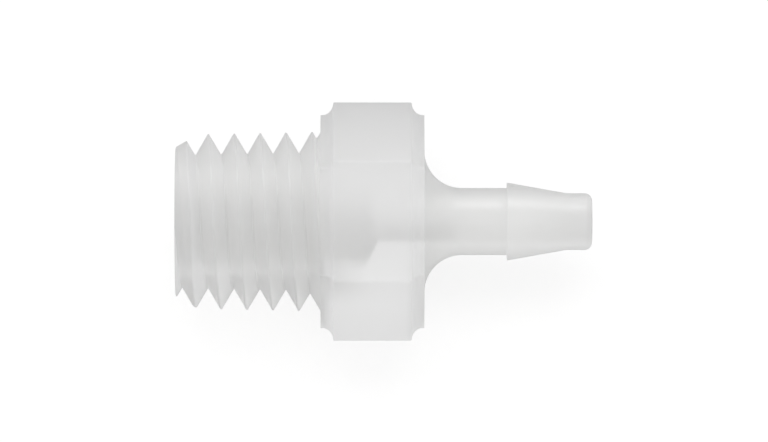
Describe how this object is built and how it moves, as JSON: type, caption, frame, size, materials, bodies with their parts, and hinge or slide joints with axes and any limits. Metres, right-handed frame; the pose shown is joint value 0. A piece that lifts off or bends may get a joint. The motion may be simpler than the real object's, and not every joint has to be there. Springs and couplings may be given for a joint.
{
  "type": "threaded hose nipple",
  "caption": "Moulded plastic hose nipple: tapered male thread, coved wrench hexagon and single barb for small-bore tubing, with a stepped bore right through.",
  "frame": {"origin": "on the fitting's axis, in the face of the hexagon that the thread runs up to", "axes": "+X along the axis from the thread to the barb; +Z square to the upper flat of the hexagon, and the fitting lies on the lower flat; +Y towards a corner of the hexagon"},
  "size_m": [0.0127, 0.0074, 0.0064],
  "materials": {
    "natural_polypropylene": "undyed translucent plastic, milky, with a soft satin shine"
  },
  "bodies": {
    "root": {"hose_nipple": "natural_polypropylene"}
  },
  "joints": []
}
